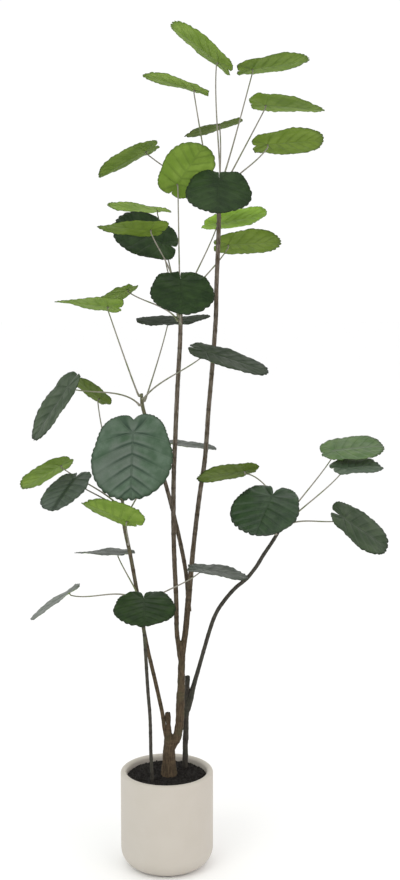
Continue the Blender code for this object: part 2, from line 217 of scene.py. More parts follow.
CROSSING_STEM = [(40, 10, 474, 3.8), (38, 16, 516, 3.8), (34, 23, 552, 3.8), (20, 29, 621, 3.7),
                 (-1, 30, 704, 3.6), (-19, 22, 765, 3.5), (-33, 12, 815, 3.5), (-42, 10, 852, 3.2),
                 (-43, 10, 872, 2.4)]
LEFT_STEM = [(3, 0, 228, 3.9), (-4, 0, 256, 3.8), (-8, 0, 286, 3.7), (-20, 0, 343, 3.6),
             (-36, 0, 415, 3.5), (-49, 0, 489, 3.5), (-63, 0, 572, 3.5), (-75, 0, 632, 3.4),
             (-78, 0, 668, 3.0), (-78, 0, 686, 2.3)]
BACK_TRUNK = [(33, 33, 140, 5.6), (33, 33, 172, 5.6), (34, 33, 223, 5.2), (36, 33, 285, 5.2),
              (37, 33, 314, 5.0), (38, 33, 346, 4.7)]
RIGHT_BRANCH = [(36, 33, 280, 4.6), (43, 32, 304, 6.2), (50, 30, 331, 4.3), (61, 20, 373, 3.7),
                (80, 10, 443, 3.6), (92, 2, 476, 3.6), (107, 0, 499, 3.6), (125, 0, 520, 3.5),
                (145, 0, 537, 3.5), (161, 0, 557, 3.4), (175, 0, 580, 3.4), (188, 0, 600, 3.3),
                (199, 0, 618, 3.2), (208, 0, 638, 3.0), (213, 0, 656, 2.3)]
FRONT_STEM = [(-26, -33, 140, 3.2), (-26, -33, 172, 3.2), (-28, -33, 226, 3.1), (-29, -33, 285, 3.1),
              (-33, -33, 342, 3.1), (-37, -33, 414, 3.1), (-40, -31, 460, 3.0), (-43, -30, 496, 2.9),
              (-44, -30, 516, 2.2)]
STEMS = {"tall": TALL_STEM, "centre": CENTRE_STEM, "crossing": CROSSING_STEM,
         "left": LEFT_STEM, "front": FRONT_STEM, "right": RIGHT_BRANCH}

# Pieces of wood: name, CAD node, bark, limbs merged into one trunk and its seed, then the thin stems,
# each with its seed, the length of its green tip in metres and whether its foot is swollen
WOOD = [
    ("bark_main", "trunk_main", "brown", [TRUNK, THICK_LIMB], 3,
     [(CENTRE_STEM, 11, 0.05, True), (TALL_STEM, 12, 0.05, True), (CROSSING_STEM, 13, 0.12, True),
      (LEFT_STEM, 14, 0.20, True)]),
    ("bark_back", "trunk_back", "dusky", [BACK_TRUNK], 8, [(RIGHT_BRANCH, 21, 0.03, True)]),
    ("bark_front", "stem_front", "dusky", [], 0, [(FRONT_STEM, 31, 0.15, False)]),
]

# Barks: dark and light grain, greenish patches, then the pale wood high up
BARKS = {
    "brown": ((0.034, 0.023, 0.013), (0.108, 0.076, 0.045), (0.058, 0.052, 0.027), (0.225, 0.198, 0.172)),
    "dusky": ((0.024, 0.022, 0.018), (0.070, 0.062, 0.050), (0.042, 0.044, 0.032), (0.090, 0.086, 0.076)),
}
YOUNG_GREEN = (0.120, 0.128, 0.066)

# Other skins: dark and light colour, then, except on the floor, that of patches, fibres or specks
STALK_COLOURS = ((0.205, 0.188, 0.155), (0.310, 0.290, 0.245), (0.140, 0.165, 0.070))
SOIL_COLOURS = ((0.006, 0.006, 0.006), (0.026, 0.022, 0.019), (0.060, 0.045, 0.032))
CERAMIC_COLOURS = ((0.495, 0.458, 0.404), (0.508, 0.472, 0.420), (0.36, 0.31, 0.26))
FLOOR_COLOURS = ((0.97, 0.97, 0.97), (0.98, 0.98, 0.98))

# Leaves: CAD node, stem that bears it, drop of its root below the stem tip, then the attachment
# point, all in millimetres, the heading, rise and roll of the midrib in degrees, length and width
# in millimetres, then fold along the midrib, droop of the tip and twist from hub to tip as fractions
LEAVES = [
    ("leaf_top_1", "tall", 16, (93, 30, 1449), (180, 38, 7), 130, 118, 0.11, 0.02, -0.06),
    ("leaf_top_2", "tall", 9, (153, 50, 1441), (0, 7, -9), 126, 102, 0.10, -0.04, 0.08),
    ("leaf_top_3", "tall", 22, (173, -30, 1369), (-8, -5, -9), 126, 112, 0.09, 0.04, 0.16),
    ("leaf_top_4", "tall", 28, (174, -80, 1298), (-4, 5, -15), 118, 112, 0.03, 0.03, 0),
    ("leaf_top_5", "tall", 34, (52, 20, 1401), (180, 16, 2), 118, 94, 0.07, 0.03, 0),
    ("leaf_top_6", "tall", 40, (95, 75, 1348), (105, -5, -14), 106, 104, 0.03, 0.02, 0),
    ("leaf_top_7", "tall", 46, (-34, 20, 1296), (180, -27, 8), 116, 114, 0.11, 0.02, -0.08),
    ("leaf_top_8", "tall", 50, (93, -75, 1240), (-93, -43, -3), 106, 104, 0.04, 0.02, 0),
    ("leaf_upper_1", "centre", 4, (22, -40, 1235), (-36, 49, -32), 107, 84, 0.04, 0.03, 0),
    ("leaf_upper_2", "centre", 10, (91, 75, 1175), (13, 9, -16), 118, 108, 0.06, 0.02, 0),
    ("leaf_upper_3", "centre", 17, (112, 80, 1136), (0, 4, -20), 120, 114, 0.03, 0.03, 0),
    ("leaf_upper_4", "centre", 24, (-17, 130, 1200), (180, 6, 3), 116, 104, 0.03, 0.02, 0.13),
    ("leaf_upper_5", "centre", 30, (-4, 25, 1137), (-175, 21, -42), 116, 110, 0.05, 0.03, 0),
    ("leaf_upper_6", "centre", 37, (-22, -80, 1157), (-155, 4, 16), 116, 98, 0.04, 0.04, -0.30),
    ("leaf_upper_7", "centre", 50, (28, -64, 1072), (-84, -35, 0), 114, 102, 0.05, 0.05, 0),
    ("leaf_upper_8", "centre", 44, (-70, 60, 1056), (155, -27, 4), 68, 76, 0.05, 0.03, 0),
    ("leaf_middle_1", "crossing", 14, (2, 50, 996), (75, 8, -1), 118, 130, 0.04, 0.04, 0),
    ("leaf_middle_2", "crossing", 4, (-99, -30, 1027), (-170, 6, 17), 116, 106, 0.08, 0.03, -0.40),
    ("leaf_middle_3", "crossing", 9, (71, -70, 951), (-4, -17, 12), 143, 106, 0.00, 0.02, 0),
    ("leaf_middle_4", "crossing", 20, (-167, -60, 889), (-165, -55, -10), 137, 104, 0.08, 0.03, 0.03),
    ("leaf_left_1", "left", 4, (-121, 45, 860), (200, 40, 9), 85, 93, 0.06, 0.03, 0),
    ("leaf_left_2", "left", 10, (-52, -120, 817), (-93, -62, 8), 148, 132, 0.04, 0.05, 0),
    ("leaf_left_3", "left", 17, (-188, 0, 744), (180, -31, 19), 101, 112, 0.07, 0.03, 0),
    ("leaf_left_4", "left", 24, (-161, -40, 724), (-114, -27, 7), 110, 79, 0.05, 0.05, 0),
    ("leaf_left_5", "left", 86, (-67, -55, 653), (-160, 27, 23), 110, 103, 0.18, 0.03, -0.10),
    ("leaf_left_6", "left", 38, (2, 82, 774), (2, -6, -1), 112, 94, 0.04, 0.02, 0),
    ("leaf_low_1", "front", 36, (-38, -64, 516), (-86, -18, 2), 104, 102, 0.05, 0.05, 0),
    ("leaf_low_2", "front", 10, (-88, 20, 579), (150, -2, 5), 104, 98, 0.05, 0.05, 0),
    ("leaf_low_3", "front", 16, (-176, 0, 511), (180, -33, 2), 106, 96, 0.05, 0.05, 0),
    ("leaf_low_4", "front", 22, (62, -72, 571), (0, -8, 0), 106, 86, 0.04, 0.05, 0),
    ("leaf_right_1", "right", 14, (139, -50, 741), (-170, -5, 23), 106, 104, 0.05, 0.05, 0.06),
    ("leaf_right_2", "right", 40, (187, -50, 696), (-114, -32, -7), 120, 113, 0.05, 0.06, 0),
    ("leaf_right_3", "right", 8, (304, 30, 766), (0, 8, 14), 112, 110, 0.05, 0.06, 0),
    ("leaf_right_4", "right", 20, (313, -30, 743), (11, 6, 8), 88, 96, 0.05, 0.06, 0),
    ("leaf_right_5", "right", 26, (319, 0, 648), (0, -34, 22), 121, 115, 0.05, 0.02, 0),
]

# Bends of stalks that pass round another leaf, in millimetres
STALK_BENDS = {
    "leaf_upper_6": ((22, -16, 1091), (-8, -70, 1116)),
    "leaf_right_1": ((200, -4, 701), (155, -18, 734)),
}

# Upper faces that differ from the usual deep green, each set to how bright that leaf shows, so partly its
# own colour and partly painted light and shade; grey_sheen, sheen and sheen_dim are greyed by painted
# sheen
UPPER_TONE = {
    "leaf_left_2": "grey_sheen", "leaf_middle_4": "moss", "leaf_middle_1": "dim", "leaf_middle_3": "dark",
    "leaf_left_4": "ashen", "leaf_right_4": "dusky", "leaf_right_5": "moss", "leaf_right_2": "cool",
    "leaf_left_6": "sheen_dim", "leaf_low_3": "sheen", "leaf_low_2": "sheen_dim", "leaf_low_4": "sheen_dim",
    "leaf_right_3": "fresh",
}

# Lower faces that are dimmer or brighter than the usual green: lit and shaded copies of the underside's
# green, set to how bright each leaf shows
LOWER_TONE = {
    "leaf_top_6": "under_dim", "leaf_left_1": "under_dim", "leaf_right_1": "under_dim",
    "leaf_upper_6": "under_mid", "leaf_top_4": "under_mid", "leaf_upper_3": "under_mid",
    "leaf_top_1": "under_bright", "leaf_top_3": "under_bright", "leaf_top_5": "under_bright",
    "leaf_upper_4": "under_bright", "leaf_upper_2": "under_brightest",
}

# Leaves quilted more deeply between their veins, as multiples of the usual
QUILTING = {
    "leaf_left_2": 2.0, "leaf_left_4": 1.3, "leaf_right_4": 1.5, "leaf_right_5": 1.7, "leaf_right_2": 1.7,
    "leaf_middle_3": 1.6, "leaf_middle_4": 1.3,
}

# Painted light along the midrib of some skins: a pale painted highlight above 0, painted shade in the
# midrib's groove below 0
MIDRIB_LIGHT = {"fresh": 0.60, "moss": 0.25, "ashen": -0.85, "dusky": -0.30}

# Leaf skins: dark and light patches, painted shade in the grooves beside the veins (also the colour of
# the fine net), the veins and the rim, then roughness, gloss, veins raised (1) or sunken (-1), how
# strongly they show, and the shares of pale painted sheen and of the painted highlight and shade at the
# pleats
LEAF_SKINS = {
    "deep": ((0.013, 0.030, 0.009), (0.028, 0.057, 0.016), (0.008, 0.018, 0.006), (0.060, 0.095, 0.035),
             (0.014, 0.026, 0.010), 0.50, 0.18, -1, 0.45, 0.05, 0.10),
    "cool": ((0.017, 0.039, 0.016), (0.036, 0.072, 0.029), (0.010, 0.024, 0.010), (0.080, 0.120, 0.070),
             (0.010, 0.022, 0.008), 0.42, 0.40, -1, 0.70, 0.15, 0.40),
    "dim": ((0.014, 0.025, 0.010), (0.030, 0.045, 0.024), (0.009, 0.016, 0.008), (0.050, 0.070, 0.045),
            (0.012, 0.020, 0.010), 0.60, 0.05, -1, 0.80, 0.15, 0.20),
    "dark": ((0.022, 0.038, 0.017), (0.043, 0.062, 0.034), (0.013, 0.024, 0.011), (0.080, 0.105, 0.070),
             (0.016, 0.028, 0.014), 0.55, 0.12, -1, 0.90, 0.35, 0.30),
    "moss": ((0.033, 0.056, 0.026), (0.059, 0.088, 0.045), (0.017, 0.033, 0.014), (0.090, 0.120, 0.072),
             (0.016, 0.030, 0.012), 0.55, 0.12, -1, 0.90, 0.25, 0.35),
    "dusky": ((0.050, 0.082, 0.046), (0.084, 0.124, 0.074), (0.025, 0.044, 0.023), (0.095, 0.132, 0.080),
              (0.030, 0.050, 0.028), 0.50, 0.20, -1, 0.90, 0.20, 0.30),
    "ashen": ((0.048, 0.071, 0.049), (0.092, 0.120, 0.094), (0.022, 0.037, 0.022), (0.125, 0.155, 0.120),
              (0.032, 0.052, 0.030), 0.50, 0.30, -1, 0.70, 0.50, 0.35),
    "grey_sheen": ((0.038, 0.078, 0.040), (0.084, 0.130, 0.088), (0.014, 0.035, 0.020), (0.100, 0.145, 0.088),
             (0.030, 0.058, 0.030), 0.50, 0.25, -1, 0.75, 0.60, 0.90),
    "sheen": ((0.060, 0.080, 0.056), (0.100, 0.120, 0.090), (0.030, 0.048, 0.028), (0.130, 0.150, 0.110),
              (0.035, 0.055, 0.035), 0.45, 0.55, -1, 0.90, 0.30, 0.20),
    "sheen_dim": ((0.036, 0.050, 0.033), (0.064, 0.078, 0.057), (0.019, 0.030, 0.017), (0.090, 0.106, 0.078),
             (0.022, 0.036, 0.022), 0.50, 0.30, -1, 0.90, 0.30, 0.20),
    "fresh": ((0.060, 0.125, 0.030), (0.105, 0.180, 0.052), (0.040, 0.085, 0.022), (0.170, 0.230, 0.100),
              (0.036, 0.064, 0.018), 0.50, 0.25, -1, 0.90, 0.30, 0.30),
    "under": ((0.150, 0.246, 0.034), (0.212, 0.320, 0.054), (0.098, 0.166, 0.026), (0.212, 0.308, 0.078),
              (0.064, 0.110, 0.022), 0.60, 0.05, 1, 0.60, 0.0, 0.15),
    "under_mid": ((0.122, 0.195, 0.022), (0.168, 0.252, 0.036), (0.080, 0.134, 0.017),
                  (0.172, 0.250, 0.058), (0.052, 0.086, 0.016), 0.60, 0.05, 1, 0.60, 0.0, 0.15),
    "under_bright": ((0.192, 0.308, 0.042), (0.264, 0.396, 0.068), (0.126, 0.212, 0.034),
                     (0.256, 0.368, 0.100), (0.074, 0.128, 0.024), 0.60, 0.05, 1, 0.60, 0.0, 0.15),
    "under_brightest": ((0.300, 0.530, 0.056), (0.410, 0.670, 0.090), (0.200, 0.370, 0.042),
                    (0.400, 0.610, 0.140), (0.120, 0.220, 0.034), 0.60, 0.05, 1, 0.60, 0.0, 0.15),
    "under_dim": ((0.088, 0.136, 0.018), (0.124, 0.180, 0.030), (0.058, 0.094, 0.014),
                  (0.120, 0.172, 0.045), (0.038, 0.062, 0.014), 0.60, 0.04, 1, 0.60, 0.0, 0.15),
}

# Notch beside the stalk: how pointed it is, then half its angle in degrees, the share of the blade left
# at its floor, and how near the stalk a slit reaches from there, as a share of the floor
NOTCH_POWER = 1.3
USUAL_NOTCH = (9, 0.84, 0.85)
NOTCHES = {
    "leaf_top_8": (5, 0.45, 0.12), "leaf_upper_7": (6, 0.35, 0.12), "leaf_left_2": (15, 0.80, 1),
    "leaf_left_4": (13, 0.24, 0.12), "leaf_low_1": (14, 0.24, 0.12), "leaf_right_2": (23, 0.24, 0.12),
    "leaf_right_5": (13, 0.24, 0.12), "leaf_upper_5": (8, 0.60, 0.3), "leaf_middle_3": (8, 0.6, 0.5),
    "leaf_top_6": (13, 0.35, 0.3),
}

UP = Vector((0, 0, 1))


class Surface:
    """A material with its shader, and short calls for the nodes that drive it."""

    def __init__(self, name, roughness, specular=0.5):
        self.material = bpy.data.materials.new(name)
        self.material.use_nodes = True
        self.tree = self.material.node_tree
        self.shader = self.tree.nodes["Principled BSDF"]
        self.shader.inputs["Roughness"].default_value = roughness
        self.shader.inputs["Specular IOR Level"].default_value = specular

    def node(self, kind, inputs, **settings):
        """New node: each input is a socket to link or a value to set."""
        made = self.tree.nodes.new(kind)
        for key, value in settings.items():
            setattr(made, key, value)
        for key, value in inputs.items():
            if isinstance(value, bpy.types.NodeSocket):
                self.tree.links.new(value, made.inputs[key])
            else:
                made.inputs[key].default_value = value
        return made

    def maths(self, operation, first, second=0.0):
        return self.node("ShaderNodeMath", {0: first, 1: second}, operation=operation).outputs[0]

    def fade(self, value, low, high, start=0.0, end=1.0):
        """Smooth step of a value from start at low to end at high."""
        inputs = {"Value": value, "From Min": low, "From Max": high, "To Min": start, "To Max": end}
        step = self.node("ShaderNodeMapRange", inputs, interpolation_type="SMOOTHSTEP")
        return step.outputs["Result"]

    def mix(self, share, first, second):
        """Colour that goes from the first to the second as the share goes from 0 to 1."""
        colours = [(*c, 1) if isinstance(c, tuple) else c for c in (first, second)]
        inputs = {0: share, 6: colours[0], 7: colours[1]}
        return self.node("ShaderNodeMix", inputs, data_type="RGBA").outputs[2]

    def plus(self, first, second):
        return self.maths("ADD", first, second)

    def times(self, first, second):
        return self.maths("MULTIPLY", first, second)

    def lay(self, colour, over, share, strength):
        """Lay another colour over a colour where a share is high, at most as strongly as given."""
        return self.mix(self.times(share, strength), colour, over)

    def place(self, stretch=(1, 1, 1)):
        """Object coordinates, stretched along each axis."""
        own = self.node("ShaderNodeTexCoord", {}).outputs["Object"]
        return self.node("ShaderNodeMapping", {"Vector": own, "Scale": stretch}).outputs["Vector"]

    def clouds(self, place, scale, detail=3.0, roughness=0.55):
        made = self.node("ShaderNodeTexNoise",
                         {"Vector": place, "Scale": scale, "Detail": detail, "Roughness": roughness})
        return made.outputs["Fac"]

    def cells(self, place, scale, feature="F1"):
        made = self.node("ShaderNodeTexVoronoi", {"Vector": place, "Scale": scale}, feature=feature)
        return made.outputs["Distance"]

    def attribute(self, name, output):
        return self.node("ShaderNodeAttribute", {}, attribute_name=name).outputs[output]

    def finish(self, colour, height=None, roughness=None):
        """Connect the colour, the relief in metres and, where it varies, the roughness."""
        self.tree.links.new(colour, self.shader.inputs["Base Color"])
        if height is not None:
            bump = self.node("ShaderNodeBump", {"Height": height, "Distance": 1.0, "Strength": 1.0})
            self.tree.links.new(bump.outputs["Normal"], self.shader.inputs["Normal"])
        if roughness is not None:
            self.tree.links.new(roughness, self.shader.inputs["Roughness"])
        return self.material


def leaf_face(tone, dark, light, groove_shade_and_net, rib, edge, roughness, specular, raised, veining, painted_sheen, pleat_light):
    """Leaf skin: mottled greens with painted sheen, painted highlights and shade at the pleats and in the
    vein grooves, raised or sunken veins, a fine net between and a darker edge.
    """
    skin = Surface("leaf_" + tone, roughness, specular)
    veins = skin.node("ShaderNodeSeparateXYZ", {0: skin.attribute("veins", "Vector")})
    phase, spacing, off_rib = veins.outputs
    place = skin.place()
    # pale green of the painted sheen and of the painted highlights
    pale = tuple(0.5 * c + 0.065 for c in light)

    # Mottled greens with pale patches of painted sheen and a fine net
    patches = skin.fade(skin.clouds(place, scale=38, detail=4), 0.34, 0.68)
    colour = skin.mix(patches, dark, light)
    drift = skin.fade(skin.clouds(place, scale=17, detail=2), 0.45, 0.66)
    colour = skin.lay(colour, pale, drift, painted_sheen)
    net = skin.fade(skin.cells(place, scale=260, feature="DISTANCE_TO_EDGE"), 0.0, 0.22, 1, 0)
    colour = skin.lay(colour, groove_shade_and_net, net, 0.10)

    # Pleats: a painted highlight on the crest and painted shade on the fall before each side vein, as if
    # lit from above, fainter away from the midrib
    inner = skin.fade(off_rib, *PLEAT_BAND, 1.0, 0.15)
    part = skin.maths("FRACT", phase)
    lit_crest = skin.times(skin.fade(part, 0.45, 0.70), skin.fade(part, 0.74, 0.82, 1, 0))
    colour = skin.lay(colour, pale, skin.times(lit_crest, inner), 0.5 * pleat_light)
    fall = skin.times(skin.fade(part, 0.75, 0.86), inner)
    colour = skin.lay(colour, groove_shade_and_net, fall, 0.85 * pleat_light)

    # Veins with painted shade in their grooves, painted light along the midrib and the rim
    off_side_vein = skin.times(skin.maths("PINGPONG", phase, 0.5), spacing)
    off_vein = skin.maths("MINIMUM", off_side_vein, off_rib)
    band = skin.fade(off_vein, *VEIN_BAND, 1, 0)
    line = skin.fade(off_vein, *VEIN_LINE, 1, 0)
    colour = skin.lay(colour, groove_shade_and_net, skin.times(band, inner), 0.65 * veining)
    colour = skin.lay(colour, rib, line, 0.40 * veining)
    midrib_light = MIDRIB_LIGHT.get(tone, 0)
    middle = skin.fade(off_rib, *MIDRIB_LIGHT_BAND, abs(midrib_light), 0)
    colour = skin.mix(middle, colour, pale if midrib_light > 0 else groove_shade_and_net)
    rim = skin.fade(skin.attribute("edge", "Fac"), 0.90, 1.0)
    colour = skin.lay(colour, edge, rim, 0.65)

    # Relief and gloss
    relief = skin.plus(skin.times(band, VEIN_HEIGHT * raised), skin.times(net, NET_HEIGHT * raised))
    height = skin.plus(relief, skin.times(skin.clouds(place, scale=700, detail=2), GRAIN_HEIGHT))
    shine = skin.clouds(place, scale=60, detail=3)
    gloss = skin.fade(shine, 0.3, 0.7, roughness - 0.06, roughness + 0.08)
    return skin.finish(colour, height, gloss)


def stalk_skin():
    """Pale stalk with fine lengthwise streaks and olive patches."""
    dark, light, olive = STALK_COLOURS
    skin = Surface("stalk_olive", 0.6, 0.35)
    streaks = skin.clouds(skin.place((1, 1, 0.12)), scale=900, detail=2)
    patches = skin.clouds(skin.place(), scale=45, detail=3)
    colour = skin.mix(skin.fade(streaks, 0.35, 0.65), dark, light)
    colour = skin.mix(skin.fade(patches, 0.45, 0.7), colour, olive)
    return skin.finish(colour, skin.times(streaks, 0.00015))


def bark_skin(name, dark, light, green, pale):
    """Bark: long cracks, pale dots and rings, dark scars, paler wood high up and green young tips."""
    skin = Surface(name, 0.85, 0.25)
    place = skin.place()
    grain = skin.clouds(skin.place((1, 1, 0.16)), scale=420, detail=5, roughness=0.65)
    patches = skin.clouds(place, scale=50, detail=4)
    dots = skin.fade(skin.cells(place, scale=330), 0.12, 0.22, 1, 0)
    colour = skin.mix(skin.fade(grain, 0.32, 0.72), dark, light)
    colour = skin.mix(skin.fade(patches, 0.45, 0.75), colour, green)
    height = skin.node("ShaderNodeSeparateXYZ", {0: place}).outputs["Z"]
    old = skin.mix(skin.fade(grain, 0.32, 0.72), tuple(1.6 * c for c in dark), pale)
    colour = skin.mix(skin.fade(height, 0.35, 0.85, 0.0, 0.8), colour, old)
    colour = skin.lay(colour, tuple(2.2 * c for c in light), dots, 0.30)
    rings = skin.fade(skin.clouds(skin.place((0.2, 0.2, 1)), scale=230, detail=2), 0.54, 0.66)
    colour = skin.lay(colour, tuple(1.3 * c for c in light), rings, 0.25)
    scar = skin.attribute("scar", "Fac")
    colour = skin.mix(skin.fade(scar, -1, 0, YOUNG, 0), colour, YOUNG_GREEN)
    colour = skin.lay(colour, tuple(0.40 * c for c in dark), scar, 0.45)
    return skin.finish(colour, skin.plus(skin.times(grain, 0.0009), skin.times(dots, 0.0003)))


def soil_skin():
    """Damp, nearly black soil with brown fibres in it."""
    dark, light, brown = SOIL_COLOURS
    skin = Surface("soil_damp", 0.95, 0.2)
    place = skin.place()
    crumbs = skin.cells(place, scale=520)
    colour = skin.mix(skin.clouds(place, scale=300, detail=4), dark, light)
    fibre = skin.fade(skin.clouds(skin.place((1, 0.25, 1)), scale=420, detail=2), 0.66, 0.74)
    colour = skin.lay(colour, brown, fibre, 0.5)
    grit = skin.times(skin.clouds(place, scale=900, detail=3), 0.0004)
    return skin.finish(colour, skin.plus(skin.times(crumbs, 0.0006), grit))


def ceramic_skin():
    """Matt warm white ceramic with faint clouds, specks and the grain of its coat."""
    dark, light, speck = CERAMIC_COLOURS
    skin = Surface("ceramic_matt", 0.55, 0.4)
    place = skin.place()
    clouds = skin.fade(skin.clouds(place, scale=22, detail=3), 0.3, 0.7)
    colour = skin.mix(clouds, dark, light)
    specks = skin.fade(skin.cells(place, scale=420), 0.05, 0.09, 1, 0)
    rare = skin.fade(skin.clouds(place, scale=260, detail=1), 0.60, 0.66)
    colour = skin.lay(colour, speck, skin.times(specks, rare), 0.5)
    grain = skin.clouds(place, scale=1500, detail=3)
    wide = skin.clouds(skin.place((1, 1, 3)), scale=40, detail=2)
    height = skin.plus(skin.times(grain, 0.00005), skin.times(wide, 0.0001))
    return skin.finish(colour, height, skin.fade(grain, 0.3, 0.7, 0.48, 0.64))


def put_in_scene(name, data):
    """New object of the scene that shows a mesh, lens or lamp."""
    obj = bpy.data.objects.new(name, data)
    bpy.context.scene.collection.objects.link(obj)
    return obj


def new_object(name, mesh, materials, node):
    """Put a mesh into the scene as the visible stand-in of a CAD node."""
    obj = put_in_scene(name, mesh)
    for mat in materials:
        mesh.materials.append(mat)
    mesh.shade_smooth()
    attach(obj, "root")
    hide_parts(node)
    return obj


class Shape:
    """Vertices, faces and face materials gathered from several parts, with one value per vertex."""

    def __init__(self):
        self.verts, self.faces, self.skins, self.values = [], [], [], []

    def add(self, verts, faces, skin=0, values=0.0):
        """Add a part of one material; its values are one number or one number for each vertex."""
        start = len(self.verts)
        self.verts += [tuple(v) for v in verts]
        self.faces += [tuple(start + i for i in face) for face in faces]
        self.skins += [skin] * len(faces)
        self.values += [values] * len(verts) if np.isscalar(values) else list(values)

    def mesh(self, name, value_name=None):
        """Mesh of all parts, with the values as an attribute where a name is given for it."""
        made = bpy.data.meshes.new(name)
        made.from_pydata(self.verts, [], self.faces)
        made.polygons.foreach_set("material_index", self.skins)
        if value_name:
            made.attributes.new(value_name, "FLOAT", "POINT").data.foreach_set("value", self.values)
        return made


def smooth_path(rows, step):
    """Points and radii in metres along a smooth curve through the rows, about a step apart."""
    rows = [(Vector(row[:3]) / 1000, row[3] / 1000) for row in rows]
    path = []
    for i in range(len(rows) - 1):
        p0 = rows[max(i - 1, 0)][0]
        p1, r1 = rows[i]
        p2, r2 = rows[i + 1]
        p3 = rows[min(i + 2, len(rows) - 1)][0]
        count = max(1, round((p2 - p1).length / step))
        for k in range(count):
            t = k / count
            point = 0.5 * (2 * p1 + (p2 - p0) * t + (2 * p0 - 5 * p1 + 4 * p2 - p3) * t * t
                           + (3 * p1 - p0 - 3 * p2 + p3) * t ** 3)
            path.append((point, r1 + (r2 - r1) * t))
    path.append(rows[-1])
    return path


def tube(path, sides, swell=None):
    """Vertices and faces of a closed tube; swell gives the multiple of the radius at a ring and angle."""
    points = [point for point, _ in path]
    across = None
    verts = []
    for i, (point, radius) in enumerate(path):
        along = (points[min(i + 1, len(points) - 1)] - points[max(i - 1, 0)]).normalized()
        across = along.orthogonal() if across is None else across - along * across.dot(along)
        across.normalize()
        other = along.cross(across)
        for k in range(sides):
            angle = 2 * math.pi * k / sides
            out = across * math.cos(angle) + other * math.sin(angle)
            verts.append(point + out * radius * (swell(i, angle) if swell else 1))
    faces = []
    for i in range(len(path) - 1):
        for k in range(sides):
            a, b = i * sides + k, i * sides + (k + 1) % sides
            faces.append((a, b, b + sides, a + sides))
    for ring, order in ((0, -1), (len(path) - 1, 1)):
        centre = len(verts)
        verts.append(points[ring])
        for k in range(sides):
            edge = (ring * sides + k, ring * sides + (k + 1) % sides)[::order]
            faces.append((*edge, centre))
    return verts, faces


def knobbly_stem(shape, rows, seed, young, swollen):
    """Add a thin stem with uneven bark, the rings left by old leaves and a young green end."""
    path = smooth_path(rows, WOOD_STEP)
    lengths = [0.0]
    for (a, _), (b, _) in zip(path, path[1:]):
        lengths.append(lengths[-1] + (b - a).length)
    dice = np.random.default_rng(seed)
    marks = np.cumsum(dice.uniform(*SCAR_SPACING, SCARS))
    scars = [max(math.exp(-((d - m) / SCAR_REACH) ** 2) for m in marks) for d in lengths]

    def swell(i, angle):
        d = lengths[i]
        spot = Vector((math.cos(angle), math.sin(angle), 0))
        share, around, along = ROUGHNESS
        rough = share * noise.noise(spot * around + Vector((0, seed, d * along)))
        share, around, along = RIDGES
        ridges = share * noise.noise(spot * around + Vector((seed, 0, d * along)))
        foot = FOOT_SWELLING * math.exp(-(d / COLLAR) ** 2) if swollen else 0
        return 1 + rough + ridges + SCAR_SWELLING * scars[i] + foot

    verts, faces = tube(path, WOOD_SIDES, swell)
    green = [max(0, 1 - (lengths[-1] - d) / young) for d in lengths]
    foot_value, tip_value = 0.0, -1.0
    values = np.repeat(np.subtract(scars, green), WOOD_SIDES).tolist() + [foot_value, tip_value]
    shape.add(verts, faces, 0, values)


def merged_mesh(limbs):
    """Mesh of thick limbs grown smoothly into one another."""
    shape = Shape()
    for rows in limbs:
        shape.add(*tube(smooth_path(rows, LIMB_STEP), LIMB_SIDES))
    separate = shape.mesh("block")
    block = put_in_scene("block", separate)
    merge = block.modifiers.new("merge", "REMESH")
    merge.mode = "VOXEL"
    merge.voxel_size = TRUNK_VOXEL
    soften = block.modifiers.new("soften", "SMOOTH")
    soften.iterations = TRUNK_SOFTENING
    graph = bpy.context.evaluated_depsgraph_get()
    grown = bpy.data.meshes.new_from_object(block.evaluated_get(graph))
    bpy.data.objects.remove(block, do_unlink=True)
    bpy.data.meshes.remove(separate)
    return grown


def add_trunk(shape, limbs, seed):
    """Add a trunk with cracked bark; the first limb ends in a cut stub."""
    grown = merged_mesh(limbs)
    verts, scars = [], []
    cut = Vector(limbs[0][-1][:3]) / 1000
    for v in grown.vertices:
        p = v.co
        scars.append(min(1, CUT_DARKNESS * math.exp(-((p - cut).length / STUB) ** 2)))
        rise = sum(height * noise.noise(Vector((p.x * across, p.y * across, p.z * along + seed)))
                   for across, along, height in TRUNK_RELIEF)
        verts.append(p + v.normal * rise)
    shape.add(verts, [tuple(face.vertices) for face in grown.polygons], 0, scars)
    bpy.data.meshes.remove(grown)


def make_wood():
    """The two trunks and the loose stem, each one piece with the thin stems that it bears."""
    barks = {name: bark_skin("bark_" + name, *colours) for name, colours in BARKS.items()}
    for name, node, bark, limbs, trunk_seed, stems in WOOD:
        shape = Shape()
        if limbs:
            add_trunk(shape, limbs, trunk_seed)
        for rows, seed, young, swollen in stems:
            knobbly_stem(shape, rows, seed, young, swollen)
        new_object(name, shape.mesh(name, "scar"), [barks[bark]], node)


def arc(centre, radius, start, end, steps):
    """Points of radius and height along an arc in the profile plane, angles in degrees."""
    points = []
    for i in range(steps + 1):
        angle = math.radians(start + (end - start) * i / steps)
        points.append((centre[0] + radius * math.cos(angle), centre[1] + radius * math.sin(angle)))
    return points


